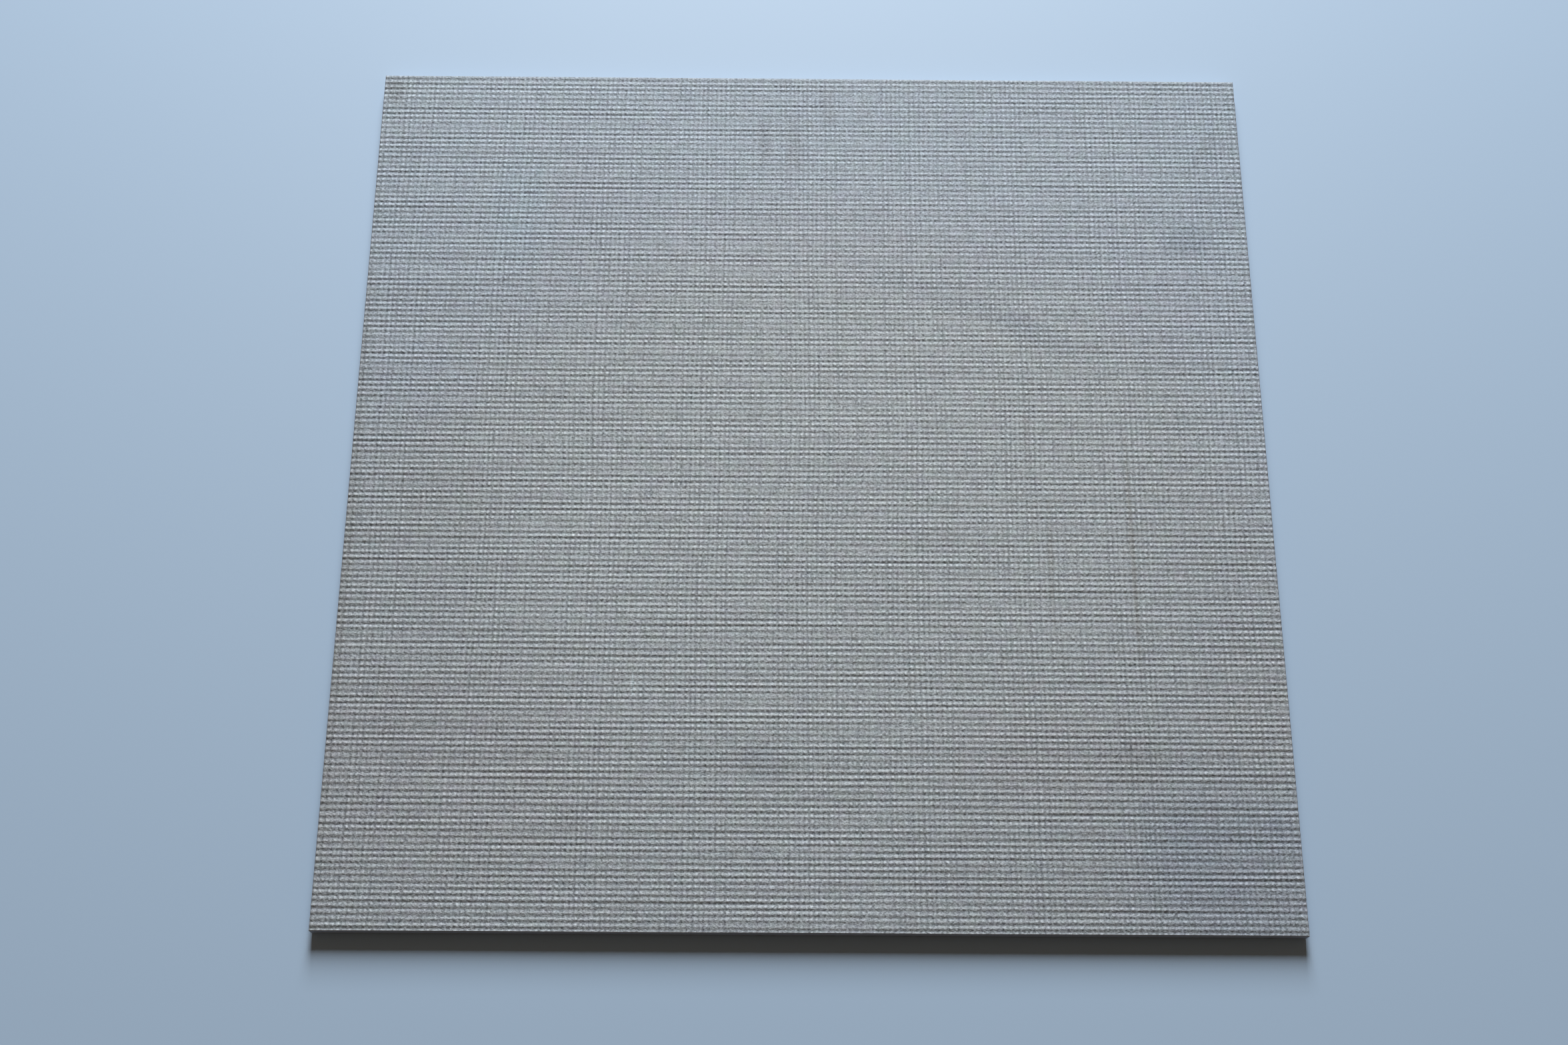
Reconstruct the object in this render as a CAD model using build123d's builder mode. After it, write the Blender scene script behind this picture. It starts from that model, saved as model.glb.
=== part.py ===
from build123d import *
import os

# A square floor tile, dry pressed and fired as one porcelain body, with its four edges ground square.
# It lies face up on its bed face. The origin is the centre of the bed face, +Z points out of the
# wearing face, and the ribs of the woven face run along X.

# Driving dimensions in millimetres
tile_side = 600.0  # length of each ground edge
tile_thickness = 10.0  # bed face to the crests of the woven face
face_arris = 0.5  # ground bevel that takes the sharpness off the upper edges
bed_bevel_reach = 1.2  # how far the pressed bevel of the bed goes in from the edges
bed_bevel_rise = 0.9  # how far the same bevel goes up the edges

with BuildPart() as floor_tile:
    # Slab, square to its bed
    with BuildSketch(Plane.XY) as tile_outline:
        Rectangle(tile_side, tile_side)
    extrude(amount=tile_thickness)

    # Ground arris around the wearing face
    wearing_face = floor_tile.faces().sort_by(Axis.Z)[-1]
    chamfer(wearing_face.edges(), length=face_arris)

    # Pressed bevel around the bed, which leaves a shadow line under the edges
    bed_face = floor_tile.faces().sort_by(Axis.Z)[0]
    chamfer(bed_face.edges(), length=bed_bevel_reach, length2=bed_bevel_rise, reference=bed_face)

floor_tile.part.label = "floor_tile"
os.makedirs("parts", exist_ok=True)
export_step(floor_tile.part, "parts/floor_tile.step")
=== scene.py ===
import math

import bpy
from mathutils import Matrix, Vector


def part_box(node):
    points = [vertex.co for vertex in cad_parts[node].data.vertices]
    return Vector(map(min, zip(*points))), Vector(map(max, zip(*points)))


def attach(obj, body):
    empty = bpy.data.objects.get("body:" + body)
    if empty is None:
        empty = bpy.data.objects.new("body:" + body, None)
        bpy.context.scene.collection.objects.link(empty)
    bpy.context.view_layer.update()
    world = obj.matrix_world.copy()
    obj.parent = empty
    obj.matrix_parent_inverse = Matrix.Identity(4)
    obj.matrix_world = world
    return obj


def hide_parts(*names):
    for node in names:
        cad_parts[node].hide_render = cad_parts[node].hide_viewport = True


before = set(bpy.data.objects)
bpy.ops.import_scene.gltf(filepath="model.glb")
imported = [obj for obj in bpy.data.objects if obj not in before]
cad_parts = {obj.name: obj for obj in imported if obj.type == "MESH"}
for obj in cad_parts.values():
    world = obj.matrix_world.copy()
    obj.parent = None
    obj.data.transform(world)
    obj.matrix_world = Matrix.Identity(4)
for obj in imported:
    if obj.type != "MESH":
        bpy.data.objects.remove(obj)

scene = bpy.context.scene
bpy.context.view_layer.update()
low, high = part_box("floor_tile")
toMillimetres = 1000.0
endless = 1000.0  # a reach so long that a pattern does not change along it
print("frame loaded")


# Small helpers for shader trees
def feed(tree, socket, value):
    if isinstance(value, bpy.types.NodeSocket):
        tree.links.new(value, socket)
    else:
        socket.default_value = value


def addNode(tree, kind, inputs=None, **settings):
    made = tree.nodes.new(kind)
    for name, value in settings.items():
        setattr(made, name, value)
    for name, value in (inputs or {}).items():
        feed(tree, made.inputs[name], value)
    return made


def maths(tree, operation, *values):
    made = addNode(tree, "ShaderNodeMath", operation=operation)
    for number, value in enumerate(values):
        feed(tree, made.inputs[number], value)
    return made.outputs[0]


def vectorMaths(tree, operation, *values):
    made = addNode(tree, "ShaderNodeVectorMath", operation=operation)
    for number, value in enumerate(values):
        name = "Scale" if operation == "SCALE" and number == 1 else number
        feed(tree, made.inputs[name], value)
    return made.outputs[0]


def vectorLength(tree, vector):
    return addNode(tree, "ShaderNodeVectorMath", {0: vector}, operation="LENGTH").outputs["Value"]


def separate(tree, vector):
    return addNode(tree, "ShaderNodeSeparateXYZ", {"Vector": vector}).outputs


def combine(tree, x, y=0.0, z=0.0):
    return addNode(tree, "ShaderNodeCombineXYZ", {0: x, 1: y, 2: z}).outputs[0]


def mixColour(tree, blend, factor, first, second):
    made = addNode(tree, "ShaderNodeMix", data_type="RGBA", blend_type=blend, clamp_result=False)
    for name, value in (("Factor", factor), (6, first), (7, second)):  # 6 and 7 are the colours
        feed(tree, made.inputs[name], value)
    return made.outputs[2]


def remap(tree, value, fromLow, fromHigh, toLow, toHigh, kind="LINEAR"):
    made = addNode(tree, "ShaderNodeMapRange", {"Value": value}, interpolation_type=kind)
    limits = (("From Min", fromLow), ("From Max", fromHigh), ("To Min", toLow), ("To Max", toHigh))
    for name, number in limits:
        feed(tree, made.inputs[name], number)
    return made.outputs["Result"]


def noiseNode(tree, position, scale, detail, roughness, stretch):
    stretched = vectorMaths(tree, "MULTIPLY", position, stretch)
    settings = {"Vector": stretched, "Scale": scale, "Detail": detail, "Roughness": roughness}
    return addNode(tree, "ShaderNodeTexNoise", settings)


# Noise about 0
def noise(tree, position, scale, detail=1.0, roughness=0.5, stretch=(1.0, 1.0, 1.0)):
    made = noiseNode(tree, position, scale, detail, roughness, stretch)
    return maths(tree, "SUBTRACT", made.outputs["Fac"], 0.5)


def colourNoise(tree, position, scale, detail=1.0):
    made = noiseNode(tree, position, scale, detail, 0.5, (1.0, 1.0, 1.0))
    return vectorMaths(tree, "SUBTRACT", made.outputs["Color"], (0.5, 0.5, 0.5))


def wave(tree, turns):
    return maths(tree, "SINE", maths(tree, "MULTIPLY", turns, 2 * math.pi))


def millimetres(tree):
    coordinates = addNode(tree, "ShaderNodeTexCoord")
    return vectorMaths(tree, "SCALE", coordinates.outputs["Object"], toMillimetres)


# Bump from a height in millimetres
def feedBump(tree, shader, height):
    settings = {"Height": height, "Strength": 1.0, "Distance": 1 / toMillimetres}
    bump = addNode(tree, "ShaderNodeBump", settings)
    feed(tree, shader.inputs["Normal"], bump.outputs["Normal"])


def newMaterial(name):
    material = bpy.data.materials.new(name)
    material.use_nodes = True
    return material, material.node_tree, material.node_tree.nodes["Principled BSDF"]


def newGroup(name, inputs, outputs):
    group = bpy.data.node_groups.new(name, "ShaderNodeTree")
    for label, kind in inputs:
        group.interface.new_socket(label, in_out="INPUT", socket_type="NodeSocket" + kind)
    for label, kind in outputs:
        group.interface.new_socket(label, in_out="OUTPUT", socket_type="NodeSocket" + kind)
    return group, group.nodes.new("NodeGroupInput"), group.nodes.new("NodeGroupOutput")


def useGroup(tree, group, inputs):
    made = addNode(tree, "ShaderNodeGroup", node_tree=group)
    for name, value in inputs.items():
        feed(tree, made.inputs[name], value)
    return made.outputs


# Camera: in front of the tile, looking down on it
cameraView = {
    "lens": 44.608,
    "sensorWidth": 36.0,
    "location": (-0.0230, -0.4821, 1.1851),
    "turnDegrees": (20.751, -0.409, 0.266),
}
bpy.ops.object.camera_add(
    location=cameraView["location"],
    rotation=[math.radians(angle) for angle in cameraView["turnDegrees"]],
)
camera = bpy.context.object
camera.name = "tileCamera"
camera.data.lens = cameraView["lens"]
camera.data.sensor_width = cameraView["sensorWidth"]
scene.camera = camera
print("camera set")

# Floor and studio light: one tall soft light behind the tile, and a little light from all round
studio = {
    "floorColour": (0.378, 0.52, 0.695, 1.0),
    "floorRoughness": 0.6,
    "floorSize": 60.0,
    "floorGap": 0.0002,  # under the bed of the tile
    "keyPower": 245.0,
    "keyPlace": (0.0, 3.0, 2.08),
    "keySize": (1.0, 2.38),
    "fillColour": (1.0, 0.735, 0.52, 1.0),
    "fillStrength": 0.112,
    "backdropColour": (0.38, 0.47, 0.59, 1.0),
    "backdropFade": (0.75, 1.8),  # how far from the tile the floor turns into the backdrop
}


# The camera sees a pale backdrop past the floor. It gives no light
def paintBackdrop(tree, kind, shown, share, output):
    seen = addNode(tree, "ShaderNodeLightPath").outputs["Is Camera Ray"]
    backdrop = addNode(tree, kind, {"Color": studio["backdropColour"], "Strength": 1.0})
    factor = maths(tree, "MULTIPLY", seen, share)
    mixed = addNode(tree, "ShaderNodeMixShader", {0: factor, 1: shown, 2: backdrop.outputs[0]})
    feed(tree, tree.nodes[output].inputs["Surface"], mixed.outputs[0])


world = bpy.data.worlds.new("studioWorld")
world.use_nodes = True
background = world.node_tree.nodes["Background"]
background.inputs["Color"].default_value = studio["fillColour"]
background.inputs["Strength"].default_value = studio["fillStrength"]
paintBackdrop(world.node_tree, "ShaderNodeBackground", background.outputs[0], 1.0, "World Output")
scene.world = world
scene.view_settings.view_transform = "Standard"

bpy.ops.object.select_all(action="DESELECT")
floorLevel = low[2] - studio["floorGap"]
bpy.ops.mesh.primitive_plane_add(size=studio["floorSize"], location=(0.0, 0.0, floorLevel))
floor = bpy.context.object
floor.name = "studioFloor"
floorMaterial, floorTree, floorShader = newMaterial("paleFloor")
floorShader.inputs["Base Color"].default_value = studio["floorColour"]
floorShader.inputs["Roughness"].default_value = studio["floorRoughness"]
floorPlace = addNode(floorTree, "ShaderNodeTexCoord").outputs["Object"]
away = vectorLength(floorTree, floorPlace)
fade = remap(floorTree, away, *studio["backdropFade"], 0.0, 1.0, "SMOOTHSTEP")
paintBackdrop(floorTree, "ShaderNodeEmission", floorShader.outputs[0], fade, "Material Output")
floor.data.materials.append(floorMaterial)

towardsFront = (-math.pi / 2, 0.0, 0.0)
bpy.ops.object.light_add(type="AREA", location=studio["keyPlace"], rotation=towardsFront)
keyLight = bpy.context.object
keyLight.name = "softKey"
keyLight.data.shape = "RECTANGLE"
keyLight.data.size, keyLight.data.size_y = studio["keySize"]
keyLight.data.energy = studio["keyPower"]
print("floor and light set")

# The tile: a ribbed face on a ground slab, in one piece. Lengths in metres
tile = {
    "ribs": 151,  # along X, counted over the face
    "rowsPerRib": 6,  # of the face mesh
    "columns": 100,
    "grooveRow": 1,  # mesh row of the first groove, from the front
    "ribDepth": 0.00076,
    "ribJitter": 8.0,  # uneven spacing of the ribs, in radians of their wave
    "jitterReach": 14.0,
    "weakRib": 0.42,  # share of the depth left where a rib is weakest
    "weakReach": (0.11, 0.0045),
    "weakContrast": 1.7,
    "weakSet": 5,  # every so many ribs, one is weaker
    "weakInSet": 0.80,
    "calmRib": 0.66,  # share left in the calm far part of the face
    "calmMiddle": (0.04, 0.22),
    "calmReach": (0.40, 0.48),
    "slubDepth": 0.00012,
    "slubReach": (0.020, 0.0042),
    "arris": 0.0005,
    "bedBevelReach": 0.0012,
    "bedBevelRise": 0.0009,
}
side = high[0] - low[0]
faceSide = side - 2 * tile["arris"]
ribPitch = faceSide / tile["ribs"]
ribLevel = high[2] - tile["ribDepth"] / 2  # half way between crests and grooves
firstGroove = low[1] + tile["arris"] + tile["grooveRow"] * ribPitch / tile["rowsPerRib"]
ribStart = firstGroove + ribPitch / 4
centre = (0.0, 0.0, 0.0)

bpy.ops.object.select_all(action="DESELECT")
bpy.ops.mesh.primitive_grid_add(
    x_subdivisions=tile["columns"],
    y_subdivisions=tile["ribs"] * tile["rowsPerRib"],
    size=faceSide,
    location=(0.0, 0.0, ribLevel),
)
wovenTile = bpy.context.object
wovenTile.name = "woven_floor_tile"
wovenTile.data.name = "woven_floor_tile"
bpy.ops.object.transform_apply(location=True, rotation=True, scale=True)
bpy.ops.object.mode_set(mode="EDIT")
bpy.ops.mesh.select_all(action="SELECT")
bpy.ops.object.vertex_group_assign_new()
bpy.ops.mesh.select_mode(type="EDGE")
bpy.ops.mesh.select_all(action="DESELECT")
bpy.ops.mesh.select_non_manifold()
grow = side / faceSide
bpy.ops.mesh.extrude_region_move(TRANSFORM_OT_translate={"value": (0.0, 0.0, -tile["arris"])})
bpy.ops.transform.resize(value=(grow, grow, 1.0), center_override=centre)
wall = ribLevel - low[2] - tile["arris"] - tile["bedBevelRise"]
bpy.ops.mesh.extrude_region_move(TRANSFORM_OT_translate={"value": (0.0, 0.0, -wall)})
bpy.ops.object.vertex_group_remove_from()
shrink = (side - 2 * tile["bedBevelReach"]) / side
bpy.ops.mesh.extrude_region_move(TRANSFORM_OT_translate={"value": (0.0, 0.0, -tile["bedBevelRise"])})
bpy.ops.transform.resize(value=(shrink, shrink, 1.0), center_override=centre)
bpy.ops.mesh.edge_face_add()
bpy.ops.mesh.select_all(action="SELECT")
bpy.ops.mesh.normals_make_consistent(inside=False)
bpy.ops.object.mode_set(mode="OBJECT")
wovenTile.vertex_groups[0].name = "wovenFace"
bpy.ops.object.vertex_group_copy()
wovenTile.vertex_groups[1].name = "ribStrength"
print("slab made,", len(wovenTile.data.polygons), "faces")


# Relief pressed into the face, each pattern laid out by an empty that is taken away again
def layOut(reach, middle=(0.0, 0.0)):
    bpy.ops.object.empty_add(type="PLAIN_AXES", location=(*middle, 0.0))
    layout = bpy.context.object
    layout.scale = (*reach, endless)
    bpy.context.view_layer.update()
    return layout


def applyAndClear(modifier, layout):
    bpy.ops.object.select_all(action="DESELECT")
    wovenTile.select_set(True)
    bpy.context.view_layer.objects.active = wovenTile
    bpy.ops.object.modifier_apply(modifier=modifier.name)
    bpy.data.objects.remove(layout)


def pressRelief(name, pattern, depth, middle, layout, where):
    press = wovenTile.modifiers.new(name, "DISPLACE")
    press.texture = pattern
    press.texture_coords = "OBJECT"
    press.texture_coords_object = layout
    press.direction = "Z"
    press.space = "LOCAL"
    press.mid_level = middle
    press.strength = depth
    press.vertex_group = where
    applyAndClear(press, layout)


# Ribs come out strong in some stretches and weak in others
def varyRibs(pattern, share, layout):
    vary = wovenTile.modifiers.new("ribStrength", "VERTEX_WEIGHT_MIX")
    vary.vertex_group_a = "ribStrength"
    vary.default_weight_b = share
    vary.mix_mode = "MUL"
    vary.mix_set = "A"
    vary.mask_texture = pattern
    vary.mask_tex_use_channel = "INT"
    vary.mask_tex_mapping = "OBJECT"
    vary.mask_tex_map_object = layout
    applyAndClear(vary, layout)


def cloudPattern(name, depth, contrast):
    pattern = bpy.data.textures.new(name, "CLOUDS")
    pattern.noise_scale = 1.0
    pattern.noise_depth = depth
    pattern.contrast = contrast
    return pattern


def bandPattern(name, kind):
    pattern = bpy.data.textures.new(name, "WOOD")
    pattern.wood_type = kind
    pattern.noise_basis_2 = "SIN"
    return pattern


calmPattern = bpy.data.textures.new("calmPart", "BLEND")
calmPattern.progression = "SPHERICAL"
varyRibs(calmPattern, tile["calmRib"], layOut(tile["calmReach"], tile["calmMiddle"]))
varyRibs(cloudPattern("weakRibs", 1, tile["weakContrast"]), tile["weakRib"], layOut(tile["weakReach"]))
bandScale = 10  # a band of this texture is 2 pi / 10 long
bandReach = ribPitch * bandScale / (2 * math.pi)
setReach = tile["weakSet"] * bandReach
varyRibs(bandPattern("weakSet", "BANDS"), tile["weakInSet"], layOut((endless, setReach)))
ribPattern = bandPattern("ribPattern", "BANDNOISE")
ribPattern.turbulence = tile["ribJitter"]
ribPattern.noise_scale = tile["jitterReach"]
bandStart = ribStart + tile["ribJitter"] / 2 * bandReach / bandScale
ribLayout = layOut((endless, bandReach), (0.0, bandStart))
upAndDown, downOnly = 0.5, 1.0  # middle level of a relief
pressRelief("ribs", ribPattern, tile["ribDepth"], upAndDown, ribLayout, "ribStrength")
slubPattern = cloudPattern("slubPattern", 1, 1.0)
pressRelief("slubs", slubPattern, tile["slubDepth"], downOnly, layOut(tile["slubReach"]), "wovenFace")
bpy.ops.object.shade_smooth()
hair = 0.00001  # slack when places are compared
rim = faceSide / 2 - hair
onRim = [max(abs(vertex.co.x), abs(vertex.co.y)) > rim for vertex in wovenTile.data.vertices]
for edge in wovenTile.data.edges:
    edge.use_edge_sharp = all(onRim[number] for number in edge.vertices)
print("relief pressed")


# A thread wanders as a whole, so its sway changes little along it
# Noise here and below: scale, detail, roughness, and stretch along X, Y and Z
threadSway = {
    "Warp": (0.05, 2.0, 0.5, (1.0, 0.08, 1.0)),
    "Weft": (0.05, 2.0, 0.5, (0.08, 1.0, 1.3)),
}
speckleNoise = (0.8, 1.5, 0.8)


# Plain weave: warp threads along Y and weft threads along X, each over every other one
def buildWeaveGroup():
    given = [("Position", "Vector"), ("Warp Pitch", "Float"), ("Weft Pitch", "Float")]
    given += [("Wander", "Float"), ("Slant", "Float")]
    made = [("Warp", "Float"), ("Weft", "Float"), ("Weave", "Float"), ("Pairs", "Float")]
    group, start, result = newGroup("plainWeave", given, made)
    place = start.outputs["Position"]
    axes = separate(group, place)
    risen = maths(group, "MULTIPLY", axes["X"], start.outputs["Slant"])
    across = {"Warp": axes["X"], "Weft": maths(group, "SUBTRACT", axes["Y"], risen)}
    full, half = {}, {}
    for thread, settings in threadSway.items():
        sway = noise(group, place, *settings)
        moved = maths(group, "MULTIPLY_ADD", sway, start.outputs["Wander"], across[thread])
        turns = maths(group, "DIVIDE", moved, start.outputs[thread + " Pitch"])
        full[thread] = wave(group, turns)
        half[thread] = wave(group, maths(group, "MULTIPLY", turns, 0.5))
    over = maths(group, "MULTIPLY", half["Warp"], half["Weft"])
    warpOver = maths(group, "MULTIPLY_ADD", over, 0.5, 0.5)
    weftOver = maths(group, "SUBTRACT", 1.0, warpOver)
    warpPart = maths(group, "MULTIPLY", full["Warp"], warpOver)
    weave = maths(group, "MULTIPLY_ADD", full["Weft"], weftOver, warpPart)
    for label, value in {**full, "Weave": weave, "Pairs": half["Warp"]}.items():
        feed(group, result.inputs[label], value)
    return group


# Soft-edged mark: 1 in its core, 0 outside
def buildMarkGroup():
    given = [("Position", "Vector"), ("Centre", "Vector"), ("Reach", "Vector")]
    given += [("Turn", "Float"), ("Core", "Float")]
    group, start, result = newGroup("softMark", given, [("Mask", "Float")])
    away = vectorMaths(group, "SUBTRACT", start.outputs["Position"], start.outputs["Centre"])
    turning = {"Vector": away, "Angle": start.outputs["Turn"]}
    turned = addNode(group, "ShaderNodeVectorRotate", turning, rotation_type="Z_AXIS").outputs[0]
    scaled = vectorMaths(group, "DIVIDE", turned, start.outputs["Reach"])
    outward = vectorLength(group, scaled)
    mask = remap(group, outward, start.outputs["Core"], 1.0, 1.0, 0.0, "SMOOTHSTEP")
    feed(group, result.inputs["Mask"], mask)
    return group


# Fine speckle of fired stoneware, about 0 on average
def buildSpeckleGroup():
    group, start, result = newGroup("firedSpeckle", [("Position", "Vector")], [("Speckle", "Float")])
    feed(group, result.inputs["Speckle"], noise(group, start.outputs["Position"], *speckleNoise))
    return group


weaveGroup = buildWeaveGroup()
markGroup = buildMarkGroup()
speckleGroup = buildSpeckleGroup()
print("shader groups made")

# Finish of the woven face. Lengths in millimetres
faceFinish = {
    "glaze": (0.311, 0.364, 0.414, 1.0),
    # Painted shade in the grooves, partly dirt: the deeper the face lies, the darker and bluer it is
    # painted
    "grooveShadeAndDirt": 0.22,
    "grooveShadeTint": (1.12, 1.0, 0.84),
    "grooveShadeAndDirtPatches": 0.8,
    "grooveShadeAndDirtNoise": (0.07, 1.0, 0.5, (1.0, 3.0, 1.0)),
    "roughness": (0.72, 0.62),  # in the grooves and on the crests
    "speckleRoughness": 0.25,
    "stray": 6.0,  # how far the threads stray from straight lines, and over what length
    "strayLength": 200.0,
    "cloth": {"Warp Pitch": 3.222, "Weft Pitch": 2.18, "Wander": 3.0, "Slant": 0.0},
    "linen": {"Warp Pitch": 3.077, "Weft Pitch": 3.306, "Wander": 2.6, "Slant": 0.0089},
    "beadPitch": 3.95,
    "beadStep": 1.7,  # of one rib's beads against the next
    "beadStepScale": 0.10,
    "beadDrift": 5.0,
    "beadDriftScale": 0.012,
    "beadSlant": 0.10,
    "beadFadeScale": 0.16,  # how often beads fade out along a rib
    "beadFade": (-0.25, 0.25, 0.0, 2.0),  # range of that noise, and of the strength it gives
    "ribShift": 17.3,  # sets each rib's noise apart from its neighbours'
    "beadZone": {"at": (0, 10), "reach": (340, 310)},  # where beads stand out more
    "beadGain": 0.36,
    "bumpBead": 0.21,  # bump heights
    "bumpWarp": 0.035,
    "bumpPairs": 0.055,
    "bumpWeave": 0.03,
    "bumpGrain": 0.50,
    "printShares": {  # of lightness, for each part of the print
        "warp": 0.070,
        "pairs": 0.038,
        "weave": 0.08,
        "weft": 0.13,
        "secondWarp": 0.045,
        "bead": 0.035,
        "weftBead": 0.05,
        "row": 0.175,
        "streak": 0.05,
        "thread": 0.16,
        "blotch": 0.03,
        "speckle": 2.0,
    },
    "noisePrints": {
        "row": (0.25, 1.0, 0.5, (0.006, 1.0, 1.0)),
        "streak": (0.17, 2.0, 0.6, (0.09, 1.0, 1.0)),
        "thread": (0.5, 2.0, 0.8, (1.0, 0.06, 1.0)),
        "blotch": (0.16, 2.0, 0.7, (1.0, 1.0, 1.0)),
    },
    "slantingLines": [  # pitch along X and along Y, and share of lightness
        (6.45, 4.364, 0.036),
        (3.225, 4.364, 0.030),
        (2.15, 4.364, 0.022),
        (2.14, -4.35, 0.022),
        (6.45, -2.182, 0.026),
        (3.98, 3.343, 0.030),
        (2.667, -3.987, 0.032),
        (2.70, 1.967, 0.020),
    ],
    "colourGrain": 0.10,
    "colourGrainNoise": (0.12, 2.0),
    "leastLight": 0.2,
    "markDrift": 7.0,  # makes the outlines of marks uneven
    "markDriftNoise": (0.12, 3.0),
    "sharpMark": 3,  # marks narrower than this keep their outline
}
# Marks on the face: centre and reach in millimetres, turn in degrees, tint that multiplies the glaze,
# and core
marks = [
    # Broad tints, some of them painted light and shade as noted
    {"at": (0, -300), "reach": (438, 540), "tint": (1.036, 1.0, 0.948), "core": 0.78},
    # Painted bluish sheen along the far side
    {"at": (0, 330), "reach": (560, 170), "tint": (0.975, 0.995, 1.01)},
    # Painted shade: darker and cooler towards the left and right sides
    {"at": (-330, -80), "reach": (190, 420), "tint": (0.925, 0.925, 0.935)},
    {"at": (330, -190), "reach": (180, 300), "tint": (0.945, 0.945, 0.965)},
    {"at": (310, 20), "reach": (90, 110), "tint": (1.01, 1.015, 1.025)},
    {"at": (-150, 120), "reach": (140, 150), "tint": (0.97, 0.975, 0.975)},
    # Painted light: a brighter, warmer middle
    {"at": (0, -40), "reach": (280, 230), "tint": (1.035, 1.032, 1.025)},
    {"at": (170, -240), "reach": (170, 110), "tint": (0.955, 0.955, 0.96)},
    {"at": (0, -275), "reach": (100, 60), "tint": (1.035, 1.035, 1.035)},
    {"at": (0, -330), "reach": (640, 130), "tint": (0.965, 0.965, 0.975)},
    {"at": (0, 175), "reach": (340, 55), "tint": (0.995, 0.985, 1.0)},
    # Painted bluish sheen towards the two far corners
    {"at": (310, 240), "reach": (110, 160), "tint": (0.965, 0.99, 1.01)},
    {"at": (-310, 240), "reach": (120, 160), "tint": (0.96, 0.98, 0.995)},
    {"at": (-230, -200), "reach": (150, 100), "tint": (0.98, 0.955, 0.955)},
    {"at": (140, -190), "reach": (90, 50), "tint": (0.99, 0.965, 0.965)},
    # Faint patches
    {"at": (-180, 120), "reach": (90, 40), "tint": (0.975, 0.97, 0.99)},
    {"at": (240, 120), "reach": (70, 60), "tint": (0.99, 0.975, 0.995)},
    {"at": (-200, 190), "reach": (28, 62), "tint": (0.965, 1.005, 1.015)},
    {"at": (-150, 215), "reach": (40, 42), "tint": (1.0, 0.98, 0.985)},
    {"at": (-250, 62), "reach": (48, 38), "tint": (1.0, 1.0, 1.025)},
    {"at": (-233, -25), "reach": (50, 32), "tint": (0.965, 0.96, 0.95)},
    {"at": (-280, 275), "reach": (48, 48), "tint": (1.015, 1.0, 0.985)},
    {"at": (276, -160), "reach": (50, 60), "tint": (1.015, 1.0, 0.985)},
    # Bluish bruise at the near right corner
    {"at": (262, -255), "reach": (110, 80), "tint": (0.91, 0.93, 0.965), "core": 0.1},
    {"at": (226, -246), "reach": (38, 46), "turn": 8, "tint": (0.92, 0.935, 0.965), "core": 0.1},
    {"at": (286, -238), "reach": (46, 26), "tint": (0.93, 0.945, 0.97), "core": 0.1},
    {"at": (262, -290), "reach": (90, 34), "tint": (0.93, 0.94, 0.965), "core": 0.1},
    # Smears
    {"at": (-31, 248), "reach": (7, 27), "tint": (0.87, 0.85, 0.85)},
    {"at": (-10, 243), "reach": (9, 31), "turn": 3, "tint": (0.87, 0.85, 0.85)},
    {"at": (12, 278), "reach": (8, 26), "tint": (0.92, 0.90, 0.90)},
    {"at": (83, 130), "reach": (76, 15), "turn": -21, "tint": (0.945, 0.95, 0.97)},
    {"at": (148, 103), "reach": (52, 14), "turn": -26, "tint": (0.90, 0.915, 0.94)},
    {"at": (260, 173), "reach": (26, 17), "turn": 15, "tint": (0.83, 0.845, 0.87)},
    {"at": (274, 242), "reach": (6, 34), "turn": -33, "tint": (0.89, 0.88, 0.88)},
    {"at": (-247, 40), "reach": (12, 11), "tint": (0.93, 0.93, 0.945)},
    # Dark threads
    {"at": (208, -58), "reach": (2.6, 114), "turn": 0.5, "tint": (0.80, 0.775, 0.75)},
    {"at": (143, 20), "reach": (2.6, 52), "tint": (0.87, 0.86, 0.86)},
    {"at": (155, -64), "reach": (2.4, 70), "tint": (0.87, 0.855, 0.84)},
    # Stains towards the front
    {"at": (-28, -197), "reach": (24, 17), "turn": -35, "tint": (0.88, 0.89, 0.90)},
    {"at": (-58, -190), "reach": (44, 15), "tint": (0.935, 0.935, 0.94)},
    {"at": (4, -212), "reach": (44, 13), "turn": -14, "tint": (0.945, 0.945, 0.945)},
    {"at": (-147, -233), "reach": (14, 11), "tint": (0.91, 0.91, 0.91)},
    {"at": (207, -193), "reach": (28, 21), "tint": (0.93, 0.92, 0.91)},
    # Soiled left border and far left corner
    {"at": (-300, -40), "reach": (10, 340), "tint": (0.89, 0.875, 0.855)},
    {"at": (-292, 288), "reach": (10, 14), "tint": (0.80, 0.78, 0.76)},
    # A pale scratch and dark specks
    {"at": (-111, -146), "reach": (1.5, 11), "tint": (1.36, 1.42, 1.43)},
    {"at": (257.2, -241.7), "reach": (1.4, 1.9), "turn": 30, "tint": (0.35, 0.35, 0.36)},
    {"at": (269.0, -241.7), "reach": (1.2, 1.2), "tint": (0.45, 0.45, 0.46)},
    {"at": (213.0, -288.2), "reach": (1.6, 1.8), "tint": (0.5, 0.5, 0.51)},
    {"at": (220.7, -287.7), "reach": (1.6, 1.6), "tint": (0.45, 0.45, 0.46)},
]
softCore = 0.3  # share of a mark's reach that has its full tint


def markMask(tree, place, mark, height=0.0, rise=endless):
    inputs = {
        "Position": place,
        "Centre": (*mark["at"], height),
        "Reach": (*mark["reach"], rise),
        "Turn": math.radians(-mark.get("turn", 0)),
        "Core": mark.get("core", softCore),
    }
    return useGroup(tree, markGroup, inputs)["Mask"]


def paintMark(tree, colour, place, mark, height=0.0, rise=endless):
    mask = markMask(tree, place, mark, height, rise)
    tinted = mixColour(tree, "MULTIPLY", 1.0, colour, (*mark["tint"], 1.0))
    return mixColour(tree, "MIX", mask, colour, tinted)


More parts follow.
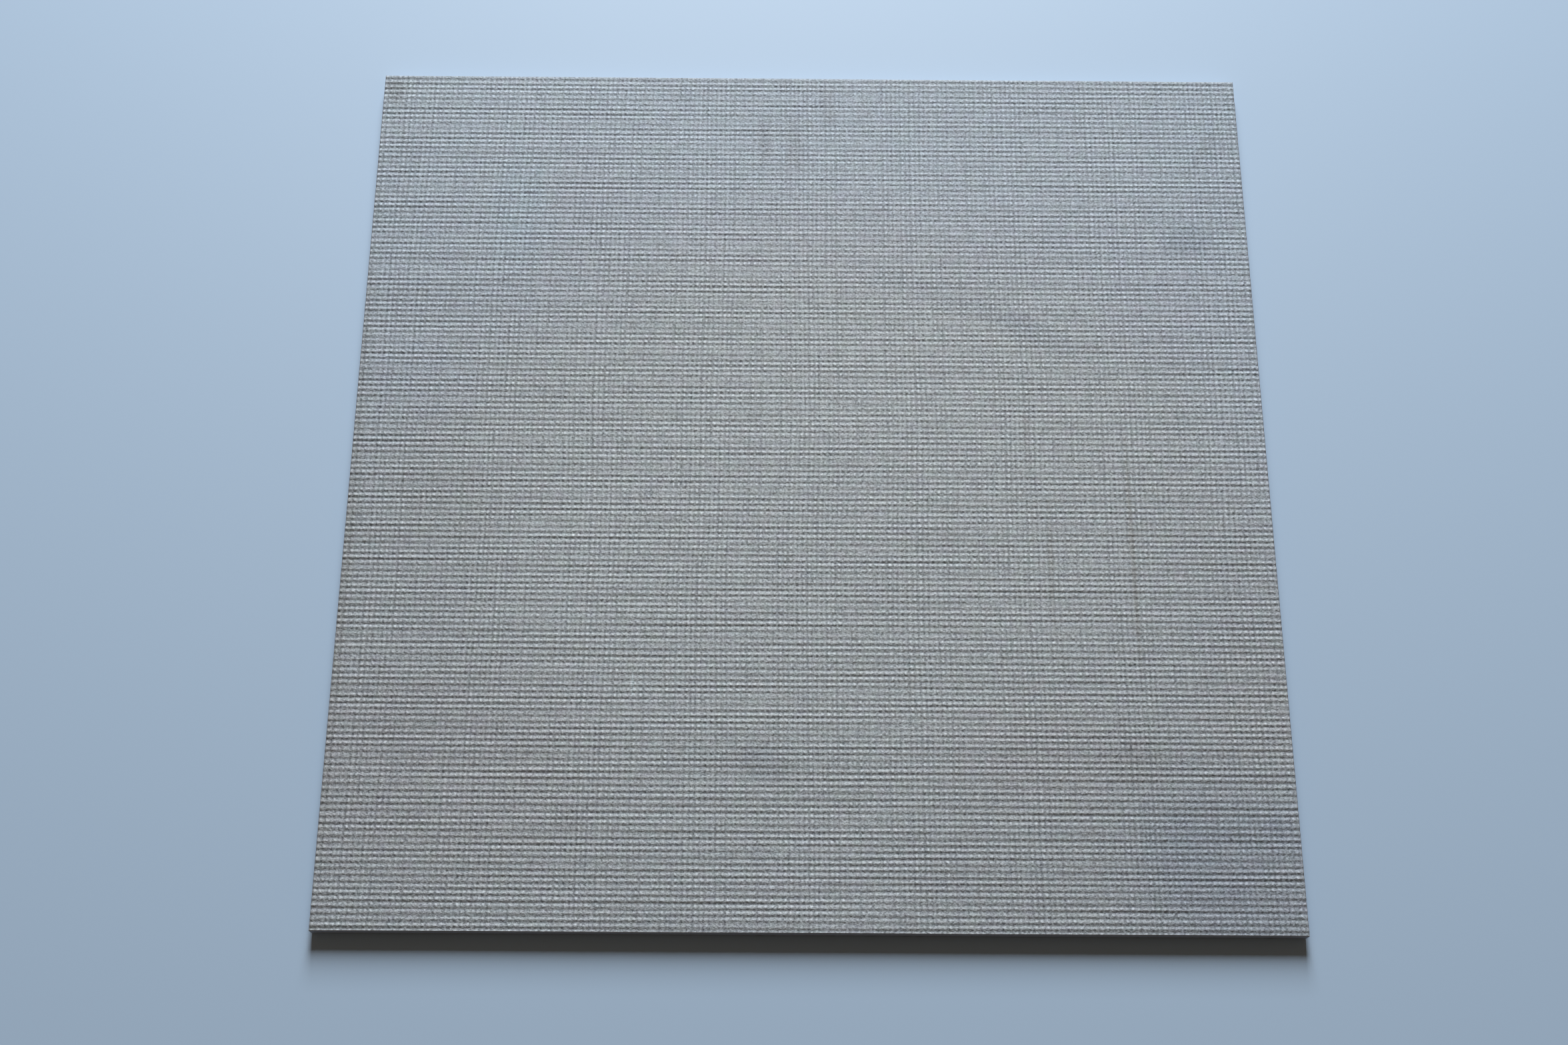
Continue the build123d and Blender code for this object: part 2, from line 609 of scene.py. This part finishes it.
# Beads along each rib, a little out of step from rib to rib and uneven in strength
def beadPattern(tree, place, strayed):
    axes = separate(tree, place)
    fromStart = maths(tree, "SUBTRACT", axes["Y"], toMillimetres * ribStart)
    turns = maths(tree, "DIVIDE", fromStart, toMillimetres * ribPitch)
    toGroove = 1 / 4  # of a turn, so the number changes in the grooves
    number = maths(tree, "FLOOR", maths(tree, "ADD", turns, toGroove))  # of the rib
    share = maths(tree, "SUBTRACT", turns, number)
    ownLine = combine(tree, axes["X"], maths(tree, "MULTIPLY", number, faceFinish["ribShift"]))
    stepNoise = noise(tree, ownLine, faceFinish["beadStepScale"])
    step = maths(tree, "MULTIPLY", stepNoise, faceFinish["beadStep"])
    driftNoise = noise(tree, place, faceFinish["beadDriftScale"])
    drift = maths(tree, "MULTIPLY", driftNoise, faceFinish["beadDrift"])
    along = maths(tree, "ADD", maths(tree, "ADD", separate(tree, strayed)["X"], step), drift)
    along = maths(tree, "MULTIPLY_ADD", share, faceFinish["beadSlant"], along)
    fadeNoise = noise(tree, ownLine, faceFinish["beadFadeScale"])
    strength = remap(tree, fadeNoise, *faceFinish["beadFade"])
    zone = markMask(tree, place, faceFinish["beadZone"])
    gain = maths(tree, "MULTIPLY_ADD", zone, faceFinish["beadGain"], 1.0)
    strength = maths(tree, "MULTIPLY", strength, gain)
    beads = wave(tree, maths(tree, "DIVIDE", along, faceFinish["beadPitch"]))
    return maths(tree, "MULTIPLY", beads, strength)


# Light and dark of the print, about 1
def printShade(tree, place, strayed, parts):
    for name, settings in faceFinish["noisePrints"].items():
        parts[name] = noise(tree, place, *settings)
    shade = 1.0 + faceFinish["grooveShadeAndDirt"] / 2
    for name, share in faceFinish["printShares"].items():
        shade = maths(tree, "MULTIPLY_ADD", parts[name], share, shade)
    axes = separate(tree, strayed)
    for pitchX, pitchY, share in faceFinish["slantingLines"]:
        turns = maths(tree, "DIVIDE", axes["X"], pitchX)
        turns = maths(tree, "MULTIPLY_ADD", axes["Y"], 1 / pitchY, turns)
        shade = maths(tree, "MULTIPLY_ADD", wave(tree, turns), share, shade)
    return shade


def buildFaceMaterial():
    material, tree, shader = newMaterial("wovenFace")
    place = millimetres(tree)
    top = toMillimetres * high[2]
    deepest = top - toMillimetres * (tile["ribDepth"] + tile["slubDepth"])
    crest = remap(tree, separate(tree, place)["Z"], deepest, top, 0.0, 1.0)
    stray = colourNoise(tree, place, 1 / faceFinish["strayLength"])
    strayed = vectorMaths(tree, "ADD", place, vectorMaths(tree, "SCALE", stray, faceFinish["stray"]))
    cloth = useGroup(tree, weaveGroup, {"Position": strayed, **faceFinish["cloth"]})
    linen = useGroup(tree, weaveGroup, {"Position": strayed, **faceFinish["linen"]})
    speckle = useGroup(tree, speckleGroup, {"Position": place})["Speckle"]
    bead = beadPattern(tree, place, strayed)

    drift = colourNoise(tree, place, *faceFinish["markDriftNoise"])
    drifted = vectorMaths(tree, "ADD", place, vectorMaths(tree, "SCALE", drift, faceFinish["markDrift"]))
    colour = faceFinish["glaze"]
    for mark in marks:
        drawn = place if min(mark["reach"]) < faceFinish["sharpMark"] else drifted
        colour = paintMark(tree, colour, drawn, mark)

    printParts = {
        "warp": cloth["Warp"],
        "pairs": cloth["Pairs"],
        "weave": cloth["Weave"],
        "weft": linen["Weft"],
        "secondWarp": linen["Warp"],
        "bead": bead,
        "weftBead": maths(tree, "MULTIPLY", linen["Weft"], bead),
        "speckle": speckle,
    }
    shade = printShade(tree, place, strayed, printParts)
    grain = colourNoise(tree, place, *faceFinish["colourGrainNoise"])
    grain = vectorMaths(tree, "SCALE", grain, faceFinish["colourGrain"])
    shadeColour = vectorMaths(tree, "ADD", combine(tree, shade, shade, shade), grain)
    # Painted shade in the grooves, partly dirt, darker and bluer where the face lies deep and uneven in
    # patches
    patches = noise(tree, place, *faceFinish["grooveShadeAndDirtNoise"])
    patchy = maths(tree, "MULTIPLY_ADD", patches, faceFinish["grooveShadeAndDirtPatches"], 1.0)
    grooveShadeAndDirtAmount = maths(tree, "MULTIPLY", maths(tree, "SUBTRACT", 1.0, crest), faceFinish["grooveShadeAndDirt"])
    grooveShadeAndDirtAmount = maths(tree, "MULTIPLY", grooveShadeAndDirtAmount, patchy)
    grooveShadeAndDirtColour = vectorMaths(tree, "SCALE", faceFinish["grooveShadeTint"], grooveShadeAndDirtAmount)
    shadeColour = vectorMaths(tree, "SUBTRACT", shadeColour, grooveShadeAndDirtColour)
    shadeColour = vectorMaths(tree, "MAXIMUM", shadeColour, (faceFinish["leastLight"],) * 3)
    feed(tree, shader.inputs["Base Color"], mixColour(tree, "MULTIPLY", 1.0, colour, shadeColour))

    rough = remap(tree, crest, 0.0, 1.0, *faceFinish["roughness"])
    rough = maths(tree, "MULTIPLY_ADD", speckle, faceFinish["speckleRoughness"], rough)
    feed(tree, shader.inputs["Roughness"], rough)

    nubs = maths(tree, "MULTIPLY", bead, faceFinish["bumpBead"])
    nubs = maths(tree, "MULTIPLY_ADD", cloth["Warp"], faceFinish["bumpWarp"], nubs)
    nubs = maths(tree, "MULTIPLY_ADD", cloth["Pairs"], faceFinish["bumpPairs"], nubs)
    height = maths(tree, "MULTIPLY", nubs, crest)
    height = maths(tree, "MULTIPLY_ADD", cloth["Weave"], faceFinish["bumpWeave"], height)
    height = maths(tree, "MULTIPLY_ADD", speckle, faceFinish["bumpGrain"], height)
    feedBump(tree, shader, height)
    return material


# Finish of the bare body: the ground edges and the pressed bed. Lengths in millimetres
bodyFinish = {
    "edgeColour": (0.262, 0.272, 0.292, 1.0),
    "bedColour": (0.345, 0.345, 0.345, 1.0),
    "speckle": 0.5,
    "speckleRange": (-0.2, 0.2),  # over which the roughness changes
    "inclusions": 0.35,
    "inclusionNoise": (1.6, 1.0, 0.6),
    "inclusionLimits": (0.12, 0.22),  # of that noise, from none to full
    "grindLines": 0.25,
    "grindNoise": (1.0, 2.0, 0.6, (0.03, 0.03, 3.0)),  # the grinding wheel ran along the edges
    "grindBump": 0.04,
    "bedWash": 0.35,
    "washNoise": (0.02, 4.0, 0.6),  # uneven kiln wash
    "bedBump": 0.10,
    "edgeRoughness": (0.62, 0.78),
    "bedRoughness": (0.78, 0.92),
}
# Painted shade of chips out of the lower front edge, which has no notches in its shape: place along it,
# reach, and share of lightness left. In millimetres
chipShades = {
    "level": 1.0,
    "rise": 2.2,
    "depth": 3.0,
    "along": [
        (-30, 4.0, 0.45),
        (-22, 2.0, 0.5),
        (14, 2.0, 0.35),
        (37, 5.0, 0.5),
        (58, 5.0, 0.4),
        (67, 3.0, 0.45),
        (198, 2.0, 0.35),
        (278, 3.0, 0.45),
    ],
}


def paintBody(tree, place, colour, lines, lineShare):
    speckle = useGroup(tree, speckleGroup, {"Position": place})["Speckle"]
    grains = noise(tree, place, *bodyFinish["inclusionNoise"])
    dark = remap(tree, grains, *bodyFinish["inclusionLimits"], 0.0, -bodyFinish["inclusions"])
    shade = maths(tree, "ADD", dark, 1.0)
    shade = maths(tree, "MULTIPLY_ADD", speckle, bodyFinish["speckle"], shade)
    shade = maths(tree, "MULTIPLY_ADD", lines, lineShare, shade)
    return mixColour(tree, "MULTIPLY", 1.0, colour, combine(tree, shade, shade, shade)), speckle


def finishBody(tree, shader, colour, roughness, value, height):
    feed(tree, shader.inputs["Base Color"], colour)
    rough = remap(tree, value, *bodyFinish["speckleRange"], *roughness)
    feed(tree, shader.inputs["Roughness"], rough)
    feedBump(tree, shader, height)


def buildEdgeMaterial():
    material, tree, shader = newMaterial("groundEdge")
    place = millimetres(tree)
    lines = noise(tree, place, *bodyFinish["grindNoise"])
    colour, speckle = paintBody(tree, place, bodyFinish["edgeColour"], lines, bodyFinish["grindLines"])
    # Painted shade of the chips: dark marks low on the front wall
    for along, reach, shade in chipShades["along"]:
        chipShade = {"at": (along, toMillimetres * low[1]), "reach": (reach, chipShades["depth"])}
        chipShade["tint"] = (shade, shade, shade)
        colour = paintMark(tree, colour, place, chipShade, chipShades["level"], chipShades["rise"])
    height = maths(tree, "MULTIPLY", lines, bodyFinish["grindBump"])
    finishBody(tree, shader, colour, bodyFinish["edgeRoughness"], speckle, height)
    return material


def buildBedMaterial():
    material, tree, shader = newMaterial("pressedBed")
    place = millimetres(tree)
    wash = noise(tree, place, *bodyFinish["washNoise"])
    colour, speckle = paintBody(tree, place, bodyFinish["bedColour"], wash, bodyFinish["bedWash"])
    height = maths(tree, "MULTIPLY", speckle, bodyFinish["bedBump"])
    finishBody(tree, shader, colour, bodyFinish["bedRoughness"], speckle, height)
    return material


faceSlot, edgeSlot, bedSlot = range(3)
for material in (buildFaceMaterial(), buildEdgeMaterial(), buildBedMaterial()):
    wovenTile.data.materials.append(material)
faceReach = faceSide / 2 + hair
upwards, downwards = 0.5, -0.9  # least and greatest Z of the normals of the face and the bed
for polygon in wovenTile.data.polygons:
    inner = max(abs(polygon.center.x), abs(polygon.center.y)) < faceReach
    onFace = inner and polygon.normal.z > upwards
    onBed = polygon.normal.z < downwards
    polygon.material_index = faceSlot if onFace else bedSlot if onBed else edgeSlot
print("materials made")

# Flat map for baked pictures: the face fills most of it, with the edges above it and the bed beside it
bakeMap = {"margin": 0.004, "faceShare": 0.90, "edgeShare": 0.018, "bedShare": 0.08}


def bakePlace(point, slot, normal):
    x = (point.x - low[0]) / side
    y = (point.y - low[1]) / side
    z = (point.z - low[2]) / (high[2] - low[2])
    margin, faceShare = bakeMap["margin"], bakeMap["faceShare"]
    if slot == faceSlot:
        return margin + faceShare * x, margin + faceShare * y
    if slot == bedSlot:
        return 2 * margin + faceShare + bakeMap["bedShare"] * x, margin + faceShare * y
    if abs(normal.x) > abs(normal.y):
        strip, along = (0 if normal.x < 0 else 1), y
    else:
        strip, along = (2 if normal.y < 0 else 3), x
    up = 2 * margin + faceShare + strip * (bakeMap["edgeShare"] + margin)
    return margin + faceShare * along, up + bakeMap["edgeShare"] * z


mapLayer = wovenTile.data.uv_layers[0]
mapLayer.name = "OFBake"
vertices = wovenTile.data.vertices
for polygon in wovenTile.data.polygons:
    for loop in polygon.loop_indices:
        point = vertices[wovenTile.data.loops[loop].vertex_index].co
        mapLayer.uv[loop].vector = bakePlace(point, polygon.material_index, polygon.normal)
print("flat map laid out")

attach(wovenTile, "root")
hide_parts("floor_tile")
